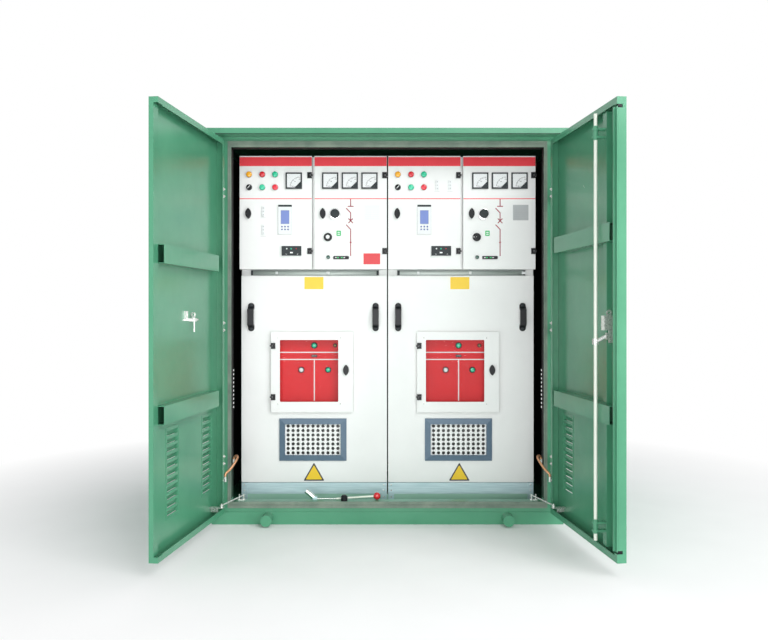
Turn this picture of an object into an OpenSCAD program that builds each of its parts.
// Outdoor switchgear kiosk with two vacuum circuit breaker units, both leaves open.
// Millimetres, +Z up, front towards -Y, origin under the middle of the base frame.

/* [Kiosk] */
// Width of the kiosk body
body_w = 1810; // [1780:10:1900]
// Depth of the kiosk body
body_d = 1200; // [1150:10:1400]
// Height of the walls' top edge above the ground
body_top = 1991; // [1985:1:2060]
// Height of the base channels
base_h = 63; // [50:1:80]
// Thickness of the wall and roof sheet
wall_t = 2; // [2:0.5:3]
// How far the roof stands out past the body
roof_over = 40; // [30:5:60]
// Height of the roof's fascia
fascia_h = 32; // [25:1:45]

/* [Doorway] */
// Width of the clear doorway
opening_w = 1610; // [1600:2:1620]
// Top of the sill
sill_z = 116; // [110:1:120]
// Underside of the header
header_z = 1941; // [1935:1:1945]
// Depth of the frame's folded return
frame_d = 55; // [45:1:60]

/* [Kiosk doors] */
// Width of one leaf
leaf_w = 842; // [836:1:842]
// Bottom edge of the leaves
leaf_z0 = 70; // [68:1:76]
// Top edge of the leaves
leaf_z1 = 1967; // [1960:1:1968]
// Thickness of a leaf's tray
leaf_t = 40; // [36:1:40]
// Width of the tray's return lips
leaf_lip = 27; // [20:1:30]
// Angle at which the leaves stand open
rest_open = 97; // [85:1:105]
// Heights of the three hinges
hinge_zs = [342, 1018, 1696];

/* [Units] */
// Pitch of the two units
unit_pitch = 800; // [800:1:806]
// Width of one unit's cabinet
unit_w = 794; // [780:1:794]
// Depth of one unit's cabinet
unit_d = 880; // [600:10:900]
// Top of the units
unit_top = 1930; // [1900:1:1936]
// Top of the lower panels
panel_z1 = 1290; // [1280:1:1294]
// Bottom of the lower panels
panel_z0 = 166; // [160:1:170]

/* [Hidden] */
$fn = 48;
front_y = -body_d / 2;
back_y = body_d / 2;
half_w = body_w / 2;
half_open = opening_w / 2;
floor_t = 3;
floor_z = base_h + floor_t;
base_lip = 6;

// the leaves turn on pins that stand in front of the frame, beside each leaf's edge
hinge_x = half_open + 52;
hinge_y = front_y - 40;
edge_gap = 12;
skin_v = -10;
lip_v = skin_v + leaf_t;
leaf_u1 = edge_gap + leaf_w;
rail_u0 = 116;
left_fold = 49;
pin_r = 4;
knuckle_r = 7;
knuckle_h = 40;
stud_u = 28;
stud_h = 3;

// a stay's door pin and its guide stand the same way off the hinge pin,
// so the stay runs through the guide at half the leaf's angle
stay_u = 118;
stay_v = 50;
stay_reach = sqrt(stay_u * stay_u + stay_v * stay_v);
guide_angle = 40.8;
stay_z = 134;
stay_r = 4;
stay_len = 250;
guide_u = stay_reach * cos(guide_angle);
guide_v = stay_reach * sin(guide_angle);

// planes of the units' fronts
panel_y = -355;
upper_y = -412;
panel_t = 20;
door_t = 16;
shelf_z = 540;
unit_z0 = 100;
unit_y0 = panel_y + panel_t;
unit_y1 = unit_y0 + unit_d;
upper_y0 = -390;
upper_z0 = 1323;
upper_z1 = 1932;
door_edge_in = 7;
door_edge_out = 396;
sheet = 2;
door_hinge_zs = [1420, 1828];
knob_z = 1622;

// breaker window door and vent, from a unit's middle
win_x0 = -232;
win_x1 = 213;
win_z0 = 549;
win_z1 = 985;
win_t = 14;
win_front_y = panel_y - 22;
glass_x0 = -184;
glass_x1 = 133;
glass_z0 = 605;
glass_z1 = 941;
win_hinge_zs = [631, 909];
// in the second unit the breaker, its window and the vent stand a little to the left
function breaker_shift(n) = n == 2 ? -8 : 0;
vent_x = -6;
vent_z = 398;
vent_w = 365;
vent_h = 230;
vent_border = 31;
vent_low = 6;
vent_high = 14;
vent_cols = 11;
vent_rows = 7;
vent_pitch_x = 27.1;
vent_pitch_z = 24.3;
vent_hole_r = 8.8;

// instruments
button_xs = [-143, -72, -3];
button_zs = [1832, 1763];
button_r = 16;
meter_w = 87;
meter_z = 1798;
meter_xs = [-105.5, 0, 105.5];

GREEN = [0.25, 0.5, 0.38];
WHITE = [0.95, 0.95, 0.94];
STEEL = [0.75, 0.77, 0.78];
BLACK = [0.08, 0.08, 0.09];
RED = [0.85, 0.2, 0.24];
COPPER = [0.8, 0.5, 0.36];

// ---- shapes that repeat ----

// a block between two opposite corners
module block(low, high) {
    translate(low) cube(high - low);
}

module both_sides() {
    children();
    mirror([1, 0, 0]) children();
}

// a profile drawn as [y, z] and run along X
module along_x(length) {
    rotate([90, 0, 90]) linear_extrude(length, center = true) children();
}

// a cylinder that points to the front, its back face on y = 0
module boss(r, h) {
    rotate([90, 0, 0]) cylinder(r = r, h = h);
}

// a channel's section, its web on the left
module channel_section(depth, height, web, flange) {
    difference() {
        square([depth, height]);
        translate([web, flange]) square([depth, height - 2 * flange]);
    }
}

// a rectangle with round corners, built from circles so that its arcs stay true
module round_rect(w, h, r) {
    square([w - 2 * r, h], center = true);
    square([w, h - 2 * r], center = true);
    for (x = [-1, 1]) {
        for (y = [-1, 1]) {
            translate([x * (w / 2 - r), y * (h / 2 - r)]) circle(r);
        }
    }
}

// a round tube swept along a list of points
function unit_of(v) = v / norm(v);
function heading(path, i) = unit_of(path[min(i + 1, len(path) - 1)] - path[max(i - 1, 0)]);
function ring_of(centre, along, r, sides) =
    let(side = unit_of(cross(along, [1, 0.2, 0.1])), up = cross(side, along))
    [for (k = [0 : sides - 1]) centre + r * (cos(360 * k / sides) * side + sin(360 * k / sides) * up)];

module swept_tube(path, r, sides = 10) {
    rings = len(path);
    points = [for (i = [0 : rings - 1]) each ring_of(path[i], heading(path, i), r, sides)];
    walls = [
        for (i = [0 : rings - 2])
            for (k = [0 : sides - 1])
                let(n = (k + 1) % sides)
                [i * sides + k, i * sides + n, (i + 1) * sides + n, (i + 1) * sides + k]
    ];
    ends = [
        [for (k = [sides - 1 : -1 : 0]) k],
        [for (k = [0 : sides - 1]) (rings - 1) * sides + k]
    ];
    polyhedron(points, concat(walls, ends));
}

// ---- base, floor and walls ----

module base_frame() {
    reach = half_w;
    depth = back_y + base_lip;
    color(GREEN) {
        for (a = [0, 180]) {
            rotate(a) {
                translate([0, -depth, 0]) along_x(body_w) channel_section(60, base_h, 5, 6);
                translate([-reach, 0, 0]) rotate([90, 0, 0])
                    linear_extrude(2 * depth - 10, center = true) channel_section(60, base_h, 5, 6);
            }
        }
        for (y = [-300, 0, 300]) {
            translate([0, y - 25, 0]) along_x(body_w - 10) channel_section(50, base_h, 5, 6);
        }
    }
}

module lifting_pins() {
    color(GREEN) for (a = [0, 180]) {
        rotate(a) for (x = [-615, 615]) translate([x, front_y - base_lip, 34]) boss(29, 72);
    }
}

module floor_plate() {
    color(GREEN) block([-half_w, front_y, base_h], [half_w, back_y, floor_z]);
}

module unit_rails() {
    color(GREEN) for (y = [unit_y0 - 12, unit_y1 - 70]) {
        translate([0, y, floor_z]) along_x(unit_pitch + unit_w) channel_section(50, unit_z0 - floor_z, 4, 4);
    }
}

// section of a pressed hood over a slot: it leaves the sheet above the slot and hangs past its foot
module hood_section(slot_h, reach) {
    polygon([
        [-1, slot_h + 2], [1, slot_h + 2], [reach, slot_h / 3], [reach, -4],
        [reach - 1.5, -4], [reach - 1.5, slot_h / 3 - 1], [-1, slot_h]
    ]);
}

// the hood's end, closed from the sheet to its front
module hood_cheek(slot_h, reach) {
    polygon([[-1, slot_h + 2], [1, slot_h + 2], [reach, slot_h / 3], [reach, -4], [-1, -4]]);
}

// vents of the side walls: a block of slots, each under its own hood
slot_pitch = 24;
slot_count = 10;
slot_z0 = 530;
slot_y0 = -140;
slot_y1 = 5;

module side_wall() {
    difference() {
        block([half_w - wall_t, front_y + frame_d, floor_z], [half_w, back_y, body_top]);
        for (i = [0 : slot_count - 1]) {
            z = slot_z0 + i * slot_pitch;
            block([half_w - 5, slot_y0, z], [half_w + 5, slot_y1, z + 12]);
        }
    }
    for (i = [0 : slot_count - 1]) {
        translate([half_w, slot_y1, slot_z0 + i * slot_pitch]) rotate([90, 0, 0])
            linear_extrude(slot_y1 - slot_y0) hood_section(12, 8);
    }
}

module left_wall() {
    color(GREEN) mirror([1, 0, 0]) side_wall();
}

module right_wall() {
    color(GREEN) side_wall();
}

module back_wall() {
    inner = half_w - wall_t;
    color(GREEN) block([-inner, back_y - wall_t, floor_z], [inner, back_y, body_top]);
}

module roof() {
    front = front_y - 2 * roof_over;
    back = back_y + roof_over;
    top = body_top + fascia_h;
    crown = 19;
    width = body_w + 2 * roof_over;
    color(GREEN) difference() {
        along_x(width) polygon([
            [front, body_top], [front, top], [0, top + crown], [back, top], [back, body_top]
        ]);
        along_x(width - 2 * wall_t) polygon([
            [front + wall_t, body_top + wall_t], [front + wall_t, top - wall_t], [0, top + crown - wall_t],
            [back - wall_t, top - wall_t], [back - wall_t, body_top + wall_t]
        ]);
        block([20 - half_w, front_y + 20, body_top - 1], [half_w - 20, back_y - 20, body_top + 3]);
    }
}

// ---- doorway ----

module door_frame() {
    t = 3;
    color(GREEN) {
        difference() {
            block([-half_w, front_y, floor_z], [half_w, front_y + frame_d, body_top]);
            block([-half_open, front_y - 1, sill_z], [half_open, front_y + frame_d + 1, header_z]);
            difference() {
                y1 = front_y + frame_d + 1;
                block([t - half_w, front_y + t, floor_z + t], [half_w - t, y1, body_top - t]);
                block([-half_open - t, front_y, sill_z - t], [half_open + t, y1 + 1, header_z + t]);
            }
        }
        // bonding studs
        both_sides() block([-half_open, front_y + 10, 318], [stud_h - half_open, front_y + 22, 330]);
        // drip strip over the leaves
        block([-half_w, front_y - 12, body_top - 14], [half_w, front_y, body_top]);
    }
}

// a seal of two lips with a groove between them
module door_gasket() {
    side = 17.5;
    head = 31;
    foot = 33;
    groove = 5;
    color([0.5, 0.53, 0.5]) difference() {
        block([-half_open - side, front_y - 4, sill_z - foot], [half_open + side, front_y, header_z + head]);
        block([-half_open, front_y - 5, sill_z], [half_open, front_y + 1, header_z]);
        difference() {
            x = half_open + (side + groove) / 2;
            block(
                [-x, front_y - 5, sill_z - (foot + groove) / 2],
                [x, front_y - 1.5, header_z + (head + groove) / 2]
            );
            block(
                [groove - x, front_y - 6, sill_z + groove - (foot + groove) / 2],
                [x - groove, front_y, header_z + (head + groove) / 2 - groove]
            );
        }
    }
}

module frame_hinges() {
    color(STEEL) both_sides() for (z = hinge_zs) {
        translate([-hinge_x, hinge_y, z]) {
            translate([0, 0, -knuckle_h - 2]) cylinder(r = knuckle_r, h = knuckle_h);
            cylinder(r = pin_r, h = 2 * knuckle_h + 4, center = true);
            block([-4, 0, -knuckle_h - 2], [4, front_y - hinge_y, -2]);
        }
    }
}

// ---- kiosk doors: u runs along the leaf from the hinge pin, v into the kiosk ----

module left_place() {
    translate([-hinge_x, hinge_y, 0]) rotate(-rest_open) children();
}

module right_place() {
    mirror([1, 0, 0]) left_place() children();
}

louvre_w = 125;
louvre_pitch = 34.5;
louvre_count = 11;
louvre_z0 = 214;
louvre_slot = 20;
louvre_reach = 13;
louvre_rim = 7;

// the pressed hoods of a louvre panel, on the outer side of the leaf's skin
module louvre_hoods(u) {
    for (i = [0 : louvre_count - 1]) {
        translate([u, skin_v, louvre_z0 + i * louvre_pitch]) {
            mirror([0, 1, 0]) along_x(louvre_w) hood_section(louvre_slot, louvre_reach);
            for (side = [-1, 1]) {
                translate([side * (louvre_w / 2 - 1), 0, 0]) mirror([0, 1, 0])
                    along_x(2) hood_cheek(louvre_slot, louvre_reach);
            }
        }
    }
}

// the pressed rim round a louvre panel, on the inner side of the skin
module louvre_border(u) {
    w = louvre_w + 26;
    h = (louvre_count - 1) * louvre_pitch + louvre_slot + 30;
    translate([u, skin_v + wall_t, louvre_z0 + h / 2 - 15]) difference() {
        block([-w / 2, -1, -h / 2], [w / 2, 1.5, h / 2]);
        block([louvre_rim - w / 2, -2, louvre_rim - h / 2], [w / 2 - louvre_rim, 2, h / 2 - louvre_rim]);
    }
}

// a folded tray: skin, four edges and their return lips, with louvre panels at the places in louvre_us
module leaf_tray(louvre_us) {
    difference() {
        block([edge_gap, skin_v, leaf_z0], [leaf_u1, lip_v, leaf_z1]);
        block(
            [edge_gap + wall_t, skin_v + wall_t, leaf_z0 + wall_t],
            [leaf_u1 - wall_t, lip_v - wall_t, leaf_z1 - wall_t]
        );
        block(
            [edge_gap + leaf_lip, skin_v + wall_t, leaf_z0 + leaf_lip],
            [leaf_u1 - leaf_lip, lip_v + 1, leaf_z1 - leaf_lip]
        );
        for (u = louvre_us) {
            for (i = [0 : louvre_count - 1]) {
                z = louvre_z0 + i * louvre_pitch;
                half = louvre_w / 2 - 2;
                block([u - half, skin_v - 1, z], [u + half, skin_v + wall_t + 1, z + louvre_slot]);
            }
        }
    }
    for (u = louvre_us) {
        louvre_hoods(u);
        louvre_border(u);
    }
}

// a stiffening tube, open at both ends, on the inner side of the skin
module leaf_rail(z0, z1, u1, v1) {
    difference() {
        block([rail_u0, skin_v + wall_t, z0], [u1, v1, z1]);
        block([rail_u0 - 1, skin_v + 2 * wall_t, z0 + wall_t], [u1 + 1, v1 - wall_t, z1 - wall_t]);
    }
}

module leaf_hinges() {
    for (z = hinge_zs) {
        translate([0, 0, z]) {
            difference() {
                union() {
                    translate([0, 0, 2]) cylinder(r = knuckle_r, h = knuckle_h);
                    block([0, -4, 2], [edge_gap, 4, knuckle_h + 2]);
                }
                cylinder(r = pin_r + 0.1, h = 3 * knuckle_h);
            }
        }
    }
    // the stay's bracket, with its gusset inside the tray, and the stay's pin
    block([stay_u - 14, skin_v + wall_t, stay_z - 12], [stay_u + 14, stay_v + 10, stay_z - 9]);
    block([stay_u - 14, skin_v + wall_t, stay_z - 36], [stay_u - 11, lip_v - wall_t, stay_z - 9]);
    translate([stay_u, stay_v, stay_z - 9]) {
        cylinder(r = 6, h = 4.5);
        cylinder(r = 3, h = 18);
    }
    // bonding stud
    translate([stud_u, lip_v, 240]) rotate([-90, 0, 0]) cylinder(r = 5, h = stud_h);
}

// the left leaf's free edge is folded back early, so that the right leaf's strip can lie over it
module left_leaf() {
    fold_v = 10;
    z0 = leaf_z0 + 24;
    z1 = leaf_z1 - 24;
    color(GREEN) left_place() {
        difference() {
            leaf_tray([165, 605]);
            block([leaf_u1 - left_fold, fold_v, z0], [leaf_u1 + 1, lip_v + 1, z1]);
        }
        block([leaf_u1 - left_fold, fold_v - wall_t, z0], [leaf_u1, fold_v, z1]);
    }
}

module left_leaf_rails() {
    u1 = leaf_u1 - left_fold - 3;
    color(GREEN) left_place() {
        leaf_rail(625, 703, u1, 36);
        leaf_rail(1293, 1371, u1, 36);
    }
}

module left_leaf_hinges() {
    color(STEEL) left_place() leaf_hinges();
}

module left_leaf_latch() {
    skin = skin_v + wall_t;
    color(STEEL) left_place() {
        block([296, skin, 1052], [486, skin + 4, 1060]);
        block([440, skin, 1056], [468, skin + 8, 1096]);
        // bolt with its eye and guide
        block([384, skin, 1048], [404, 20, 1064]);
        translate([394, 12, 1000]) cylinder(r = 4, h = 60);
        translate([391, 8, 1080]) rotate([0, 90, 0]) difference() {
            union() {
                cylinder(r = 11, h = 6);
                block([0, -4, 0], [18, 8, 6]);
            }
            translate([0, 0, -1]) cylinder(r = 5, h = 8);
        }
    }
}

// the right leaf's free edge is deeper between two notches, and carries the strip that covers the gap
module right_leaf() {
    edge_z0 = sill_z + 5;
    edge_z1 = header_z - 19;
    edge_v = 46;
    notch_h = 14;
    notch_d = 40;
    u0 = leaf_u1 - leaf_lip - 1;
    color(GREEN) right_place() {
        difference() {
            leaf_tray([165]);
            block([u0, lip_v - wall_t - 1, edge_z0], [leaf_u1 - wall_t, lip_v + 1, edge_z1]);
            for (z = [edge_z0 - notch_h, edge_z1]) {
                block([u0, edge_v - notch_d, z], [leaf_u1 + 1, edge_v, z + notch_h]);
            }
        }
        block([leaf_u1 - wall_t, lip_v - 1, edge_z0], [leaf_u1, edge_v, edge_z1]);
        block([leaf_u1 - 6, edge_v - wall_t, edge_z0], [leaf_u1, edge_v, edge_z1]);
        block([leaf_u1 - wall_t, lip_v + 5, edge_z0], [leaf_u1 + 18, lip_v + 8, edge_z1]);
    }
}

module right_leaf_rails() {
    color(GREEN) right_place() {
        leaf_rail(627, 704, leaf_u1 - 38, 48);
        leaf_rail(1383, 1460, leaf_u1 - 38, 48);
        // upright rib behind the rod
        translate([rod_u, skin_v + wall_t, leaf_z0 + 30]) difference() {
            block([-20, 0, 0], [20, rib_h, leaf_z1 - leaf_z0 - 60]);
            block([wall_t - 20, wall_t, -1], [20 - wall_t, rib_h - wall_t, leaf_z1 - leaf_z0]);
        }
    }
}

module right_leaf_hinges() {
    color(STEEL) right_place() leaf_hinges();
}

rod_u = 700;
rod_v = 61;
rod_r = 7.5;
rib_v = 20;
rib_h = rib_v - skin_v - wall_t;
guide_r = 11;
guide_h = 60;

// a sleeve on two saddles that stand on the rib
module rod_guide() {
    difference() {
        union() {
            cylinder(r = guide_r, h = guide_h);
            for (z = [8, 42]) {
                translate([0, 0, z]) {
                    cylinder(r = guide_r + 4, h = 8);
                    block([-guide_r - 4, rib_v - rod_v, 0], [guide_r + 4, 0, 8]);
                }
            }
        }
        translate([0, 0, -1]) cylinder(r = rod_r + 0.5, h = guide_h + 2);
        block([2 - guide_r, rib_v - rod_v - 1, -1], [guide_r - 2, -guide_r - 3, guide_h + 1]);
    }
}

module right_leaf_rod() {
    color(STEEL) right_place() {
        translate([rod_u, rod_v, sill_z + 8]) cylinder(r = rod_r, h = header_z - sill_z - 18);
        for (z = [154, 1819]) translate([rod_u, rod_v, z]) rod_guide();
    }
}

// a round bar between two points
module bar(from, to, r) {
    way = to - from;
    translate(from) rotate([0, acos(way.z / norm(way)), atan2(way.y, way.x)]) cylinder(r = r, h = norm(way));
}

module right_leaf_lock() {
    lever_z = 966;
    color(STEEL) right_place() {
        // back plate, case, eye and the link down to the lever's pivot
        block([730, skin_v + wall_t, 950], [770, skin_v + 5, 1108]);
        block([732, skin_v + 4, 1015], [768, 49, 1076]);
        translate([748, 22, 1088]) rotate([0, 90, 0]) difference() {
            union() {
                cylinder(r = 12, h = 5);
                block([0, -9, 0], [16, 9, 5]);
            }
            translate([0, 0, -1]) cylinder(r = 5.5, h = 7);
        }
        block([744, skin_v + 4, 962], [752, 22, 1016]);
        bar([748, 24, 996], [rod_u + 10, rod_v - 7, lever_z + 4], 8);
        block([742, 2, 976], [754, 34, 1004]);
        // clamp on the rod
        translate([rod_u, rod_v, lever_z - 12]) difference() {
            cylinder(r = 14, h = 24);
            translate([0, 0, -1]) cylinder(r = rod_r + 0.3, h = 26);
        }
    }
}

// ---- stays ----

module stay_guides() {
    color(STEEL) both_sides() translate([guide_u - hinge_x, hinge_y + guide_v, sill_z]) {
        block([-20, -11, 0], [20, 11, 3]);
        for (x = [-11, 11]) translate([x, 0, 3]) cylinder(r = 4, h = 26);
    }
}

// the stay as it lies with the leaf open at rest, from the leaf's pin through the guide
module stay() {
    pin_angle = atan2(stay_v, stay_u) - rest_open;
    pin = stay_reach * [cos(pin_angle), sin(pin_angle)];
    aim = atan2(guide_v - pin.y, guide_u - pin.x);
    translate([pin.x - hinge_x, pin.y + hinge_y, stay_z]) rotate(aim) {
        difference() {
            union() {
                rotate([0, 90, 0]) cylinder(r = stay_r, h = stay_len);
                cylinder(r = 8, h = 2 * stay_r, center = true);
            }
            cylinder(r = 3.1, h = 3 * stay_r, center = true);
        }
    }
}

module left_stay() {
    color(STEEL) stay();
}

module right_stay() {
    color(STEEL) mirror([1, 0, 0]) stay();
}

// ---- bonding braids, from a lug on the leaf's lip to one inside the frame ----

braid_r = 6;
braid_path = [
    [-821.5, -672, 258], [-821, -671, 267], [-816, -667, 277], [-804, -660, 288], [-791, -649, 304],
    [-780, -636, 322], [-773, -623, 336], [-771, -612, 345], [-774, -602, 350], [-780, -595, 351],
    [-787, -589, 348], [-792, -585, 341], [-795.5, -584, 330]
];

module braid() {
    color(COPPER) swept_tube(braid_path, braid_r);
    color(STEEL) {
        translate([-821.5, -672, 232]) cylinder(r = braid_r, h = 28);
        translate([-795.5, -584, 308]) cylinder(r = braid_r, h = 24);
    }
}

module left_braid() {
    braid();
}

module right_braid() {
    mirror([1, 0, 0]) braid();
}

// ---- the units ----

module at_units() {
    for (side = [-1, 1]) translate([side * unit_pitch / 2, 0, 0]) children();
}

module at_unit(n) {
    translate([(n - 1.5) * unit_pitch, 0, 0]) children();
}

// one unit's cabinet: a tall lower chamber, and two upper ones that stand proud of it
module cabinet() {
    half = unit_w / 2;
    difference() {
        union() {
            block([-half, unit_y0, unit_z0], [half, unit_y1, unit_top]);
            block([-half, upper_y0, upper_z0], [half, unit_y1, unit_top]);
        }
        // lower chamber
        block(
            [sheet - half, unit_y0 + sheet, unit_z0 + sheet],
            [half - sheet, unit_y1 - sheet, upper_z0 - sheet]
        );
        block([22 - half, unit_y0 - 1, panel_z0 + 10], [half - 22, unit_y0 + 5, panel_z1 - 10]);
        // upper chambers, either side of the mullion
        for (side = [-1, 1]) {
            x0 = side < 0 ? sheet - half : 6;
            x1 = side < 0 ? -6 : half - sheet;
            block([x0, upper_y0 - 1, upper_z0 + sheet], [x1, unit_y1 - sheet, unit_top - sheet]);
        }
    }
    // shelf that carries the breaker
    block([-half + 1, unit_y0 + 40, shelf_z - 3], [half - 1, unit_y1 - 1, shelf_z]);
}

module unit_cabinet(n) {
    color(WHITE) at_unit(n) {
        cabinet();
        for (x = [-door_edge_in, door_edge_out]) {
            for (z = door_hinge_zs) fixed_hinge(x, upper_y, upper_y0, z, 1);
        }
    }
}

// hinges of the inner doors: side is 1 where the pin is at the door's right edge, -1 at its left
hinge_set = 4;
hinge_proud = 5;
hinge_pin_r = 2;

module fixed_hinge(edge_x, face_y, base_y, z, side) {
    pin_x = edge_x - side * hinge_set;
    pin_y = face_y - hinge_proud;
    translate([0, 0, z]) {
        translate([pin_x, pin_y, -5]) cylinder(r = 4, h = 10);
        translate([pin_x, pin_y, -16]) cylinder(r = hinge_pin_r, h = 32);
        x0 = side > 0 ? pin_x : edge_x + side * 5;
        x1 = side > 0 ? edge_x + 5 : pin_x;
        block([x0, pin_y - 4, -5], [x1, pin_y - 2, 5]);
        a0 = side > 0 ? edge_x + 3 : edge_x - 5;
        block([a0, pin_y - 4, -5], [a0 + 2, base_y, 5]);
        // foot on the cabinet's edge
        block([min(a0, edge_x - 2), base_y - 1, -5], [max(a0 + 2, edge_x + 2), base_y + 1, 5]);
    }
}

module moving_hinge(edge_x, face_y, z, side) {
    pin_x = edge_x - side * hinge_set;
    pin_y = face_y - hinge_proud;
    translate([0, 0, z]) difference() {
        union() {
            for (z0 = [-16, 6]) {
                translate([pin_x, pin_y, z0]) cylinder(r = 4, h = 10);
            }
            x0 = side > 0 ? edge_x - 24 : pin_x;
            x1 = side > 0 ? pin_x : edge_x + 24;
            for (z0 = [-16, 6]) block([x0, pin_y - 3, z0], [x1, face_y, z0 + 10]);
            b0 = side > 0 ? edge_x - 24 : edge_x + 10;
            block([b0, pin_y - 3, -16], [b0 + 14, face_y, 16]);
        }
        translate([pin_x, pin_y, -20]) cylinder(r = hinge_pin_r + 0.1, h = 40);
    }
}

// an oval quarter-turn lock cover: two arcs that meet in points, cut from crossing discs
module oval_knob(x, face_y, z) {
    w = 31;
    h = 58;
    r = (w * w + h * h) / (4 * w);
    translate([x, face_y, z]) {
        rotate([90, 0, 0]) intersection() {
            translate([w / 2 - r, 0, 0]) cylinder(r = r, h = 16, $fn = 96);
            translate([r - w / 2, 0, 0]) cylinder(r = r, h = 16, $fn = 96);
        }
    }
}

module panel(shift) {
    half = unit_w / 2 - 1;
    difference() {
        block([-half, panel_y, panel_z0], [half, unit_y0, panel_z1]);
        block(
            [sheet - half, panel_y + sheet, panel_z0 + sheet],
            [half - sheet, unit_y0 + 1, panel_z1 - sheet]
        );
        translate([shift, panel_y, 0]) {
            block([glass_x0 - 12, -1, glass_z0 - 12], [glass_x1 + 12, 5, glass_z1 + 12]);
            translate([vent_x, 0, vent_z]) {
                w = vent_w / 2 - 20;
                h = vent_h / 2 - 20;
                block([-w, -1, -h], [w, 5, h]);
            }
        }
    }
    translate([shift, 0, 0]) for (z = win_hinge_zs) fixed_hinge(win_x0, win_front_y, panel_y, z, -1);
}

module unit_panel(n) {
    color(WHITE) at_unit(n) panel(breaker_shift(n));
}

// the plate under each panel, between two posts that come down in front of the rail
module kick_plates() {
    half = unit_w / 2;
    y0 = unit_y0 - 17;
    color(STEEL) at_units() {
        block([-half + 1, y0 + 3, unit_z0 + 0.5], [half - 1, y0 + 5, panel_z0 - 4]);
        for (side = [-1, 1]) {
            x = side * (half - 17);
            block([x - 16, y0, floor_z + 0.5], [x + 16, y0 + 4, panel_z0 - 4]);
            block([x - 16, y0, unit_z0 + 0.5], [x + 16, unit_y0, panel_z0 - 4]);
        }
    }
}

// a strap handle: a bridge in side view, trimmed to a long round-ended outline
module pull_handle() {
    h = 154;
    w = 34;
    rise = 36;
    intersection() {
        rotate([90, 0, 90]) linear_extrude(w, center = true) polygon([
            [0, 0], [-9, 0], [-9, 20], [-rise, 36], [-rise, h - 36], [-9, h - 20], [-9, h], [0, h],
            [0, h - 28], [8 - rise, h - 42], [8 - rise, 42], [0, 28]
        ]);
        translate([0, 1, h / 2]) rotate([90, 0, 0]) linear_extrude(rise + 2) round_rect(w, h, w / 2 - 0.5);
    }
}

module pull_handles() {
    color(BLACK) at_units() {
        for (x = [-342, 335]) translate([x, panel_y, 988]) pull_handle();
    }
}

breaker_y = panel_y + 33;

module at_breakers() {
    for (n = [1, 2]) at_unit(n) translate([breaker_shift(n), 0, 0]) children();
}

module breaker_housings() {
    color(RED) at_breakers() difference() {
        block([-240, breaker_y, shelf_z], [190, 120, 995]);
        block([-237, breaker_y + 3, shelf_z + 3], [187, 121, 992]);
    }
}

module breaker_buttons() {
    color("seagreen") at_breakers() translate([0, breaker_y, 0]) {
        for (p = [[-2, 909, 14], [112, 909, 8], [-73, 775, 14], [74, 775, 14]]) {
            translate([p[0], 0, p[1]]) {
                boss(p[2], 4);
                boss(p[2] - 3, 9);
            }
        }
    }
}

// a moulded frame whose four sides slope back towards their outer edges
module vent_frames() {
    w = vent_w / 2;
    h = vent_h / 2;
    color([0.38, 0.46, 0.56]) at_breakers() translate([vent_x, panel_y - 2, vent_z]) difference() {
        intersection() {
            along_x(vent_w) polygon([
                [0, -h], [-vent_low, -h], [-vent_high, vent_border - h],
                [-vent_high, h - vent_border], [-vent_low, h], [0, h]
            ]);
            linear_extrude(vent_h, center = true) polygon([
                [-w, 0], [-w, -vent_low], [vent_border - w, -vent_high],
                [w - vent_border, -vent_high], [w, -vent_low], [w, 0]
            ]);
        }
        block([vent_border - w, -vent_high - 1, vent_border - h], [w - vent_border, 1, h - vent_border]);
    }
}

module vent_plates() {
    color(WHITE) at_breakers() translate([vent_x, panel_y, vent_z]) rotate([90, 0, 0])
        linear_extrude(2) difference() {
            square([vent_w - 10, vent_h - 10], center = true);
            for (i = [0 : vent_cols - 1]) {
                for (j = [0 : vent_rows - 1]) {
                    translate([
                        (i - (vent_cols - 1) / 2) * vent_pitch_x,
                        (j - (vent_rows - 1) / 2) * vent_pitch_z
                    ]) circle(vent_hole_r, $fn = 24);
                }
            }
        }
}

// ---- instrument doors: 1 and 3 on the left of their unit, 2 and 4 on the right ----

function door_unit(n) = n < 3 ? 1 : 2;
function door_x0(n) = n % 2 == 1 ? -door_edge_out : door_edge_in;
function door_x1(n) = n % 2 == 1 ? -door_edge_in : door_edge_out;
function door_mid(n) = (door_x0(n) + door_x1(n)) / 2;

module instrument_door(n) {
    color(WHITE) at_unit(door_unit(n)) difference() {
        block([door_x0(n), upper_y, upper_z0], [door_x1(n), upper_y + door_t, upper_z1]);
        block(
            [door_x0(n) + sheet, upper_y + sheet, upper_z0 + sheet],
            [door_x1(n) - sheet, upper_y + door_t + 1, upper_z1 - sheet]
        );
    }
}

module door_fittings(n) {
    color(BLACK) at_unit(door_unit(n)) {
        for (z = door_hinge_zs) moving_hinge(door_x1(n), upper_y, z, 1);
        oval_knob(door_x0(n) + (n % 2 == 1 ? 48 : 45), upper_y, knob_z);
    }
}

module push_buttons(n) {
    color(BLACK) at_unit(door_unit(n)) translate([door_mid(n), upper_y, 0]) {
        for (x = button_xs) {
            for (z = button_zs) {
                translate([x, 0, z]) {
                    boss(button_r, 5);
                    boss(button_r - 3, 13);
                }
            }
        }
    }
}

module meter(x) {
    translate([x, upper_y, meter_z]) difference() {
        block([-meter_w / 2, -12, -meter_w / 2], [meter_w / 2, 0, meter_w / 2]);
        block([7 - meter_w / 2, -13, 7 - meter_w / 2], [meter_w / 2 - 7, -9, meter_w / 2 - 7]);
    }
}

// the relay and, lower down, the status unit; the third door has its relay nearer the middle
module relay(n) {
    relay_x = n == 1 ? 14 : -38;
    status_x = n == 1 ? 33 : 36;
    color(WHITE) at_unit(door_unit(n)) translate([door_mid(n), upper_y, 0]) {
        translate([relay_x, 0, 1510]) block([0, -8, 0], [74, 0, 158]);
        color(BLACK) translate([status_x, 0, 1394]) block([0, -14, 0], [107, 0, 53]);
    }
}

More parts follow.
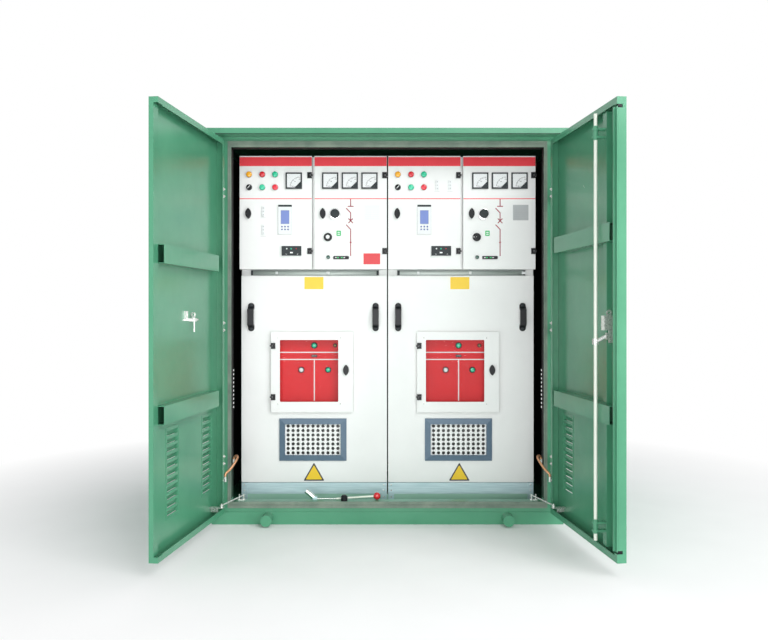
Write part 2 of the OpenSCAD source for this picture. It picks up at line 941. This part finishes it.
module switches(n) {
    color(BLACK) at_unit(door_unit(n)) translate([door_mid(n), upper_y, 0]) {
        translate([-84, 0, 1620]) {
            boss(30, 6);
            boss(24, 24);
        }
        translate([-122, 0, 1495]) {
            boss(22, 8);
            boss(12, 22);
        }
        translate([-120, 0, 1387]) boss(10, 8);
        block([-92, -5, 1377], [-10, 0, 1393]);
    }
}

module door_1_meter() {
    color(BLACK) at_unit(1) translate([door_mid(1), 0, 0]) meter(98);
}

module meter_row(n) {
    color(BLACK) at_unit(door_unit(n)) translate([door_mid(n) + (n == 2 ? -4 : 2), 0, 0]) {
        for (x = meter_xs) meter(x);
    }
}

// ---- window doors over the breakers ----

module at_window(n) {
    at_unit(n) translate([breaker_shift(n), 0, 0]) children();
}

module window_door(n) {
    color(WHITE) at_window(n) difference() {
        block([win_x0, win_front_y, win_z0], [win_x1, win_front_y + win_t, win_z1]);
        block(
            [win_x0 + sheet, win_front_y + sheet, win_z0 + sheet],
            [win_x1 - sheet, win_front_y + win_t + 1, win_z1 - sheet]
        );
        translate([(glass_x0 + glass_x1) / 2, win_front_y + 5, (glass_z0 + glass_z1) / 2])
            rotate([90, 0, 0]) linear_extrude(10) round_rect(glass_x1 - glass_x0, glass_z1 - glass_z0, 6);
    }
}

module window_glass(n) {
    color([0.8, 0.85, 0.85, 0.3]) at_window(n) block(
        [glass_x0 - 15, win_front_y + sheet, glass_z0 - 15],
        [glass_x1 + 15, win_front_y + sheet + 4, glass_z1 + 15]
    );
}

module window_fittings(n) {
    color(BLACK) at_window(n) {
        for (z = win_hinge_zs) moving_hinge(win_x0, win_front_y, z, -1);
        oval_knob(175, win_front_y, 778);
    }
}

// ---- loose gear on the sill ----

module operating_lever() {
    y = front_y + 44;
    color(RED) translate([-55, y, sill_z + 19]) sphere(r = 19);
    color(STEEL) {
        lever_drop = atan2(14, 212);
        translate([-55, y, sill_z + 19]) rotate([0, -90 - lever_drop, 0]) cylinder(r = 5, h = 212);
        translate([-262, y, sill_z + 5]) rotate([0, -90, 0]) cylinder(r = 3, h = 110);
        translate([-390, y - 10, sill_z]) cube([24, 20, 18]);
        translate([-385, y, sill_z + 12]) rotate([0, -48, 0]) difference() {
            cylinder(r = 13, h = 52);
            translate([0, 0, 14]) cylinder(r = 9, h = 40);
        }
    }
}

module socket_cap() {
    color(BLACK) translate([-224, front_y + 20, sill_z]) {
        cylinder(r = 17, h = 22);
        translate([0, 0, 22]) cylinder(r1 = 17, r2 = 9, h = 8);
    }
}

base_frame();
lifting_pins();
floor_plate();
unit_rails();
left_wall();
right_wall();
back_wall();
roof();
door_frame();
door_gasket();
frame_hinges();
stay_guides();
left_braid();
right_braid();
operating_lever();
socket_cap();
unit_cabinet(1);  // unit_1_cabinet
unit_cabinet(2);  // unit_2_cabinet
unit_panel(1);  // unit_1_panel
unit_panel(2);  // unit_2_panel
kick_plates();
pull_handles();
breaker_housings();
breaker_buttons();
vent_frames();
vent_plates();
instrument_door(1);  // door_1
instrument_door(2);  // door_2
instrument_door(3);  // door_3
instrument_door(4);  // door_4
door_fittings(1);  // door_1_fittings
door_fittings(2);  // door_2_fittings
door_fittings(3);  // door_3_fittings
door_fittings(4);  // door_4_fittings
push_buttons(1);  // door_1_buttons
door_1_meter();
relay(1);  // door_1_relay
meter_row(2);  // door_2_meters
switches(2);  // door_2_switches
push_buttons(3);  // door_3_buttons
relay(3);  // door_3_relay
meter_row(4);  // door_4_meters
switches(4);  // door_4_switches
window_door(1);  // window_door_1
window_door(2);  // window_door_2
window_glass(1);  // window_glass_1
window_glass(2);  // window_glass_2
window_fittings(1);  // window_fittings_1
window_fittings(2);  // window_fittings_2
left_leaf();
left_leaf_rails();
left_leaf_hinges();
left_leaf_latch();
right_leaf();
right_leaf_rails();
right_leaf_hinges();
right_leaf_rod();
right_leaf_lock();
left_stay();
right_stay();
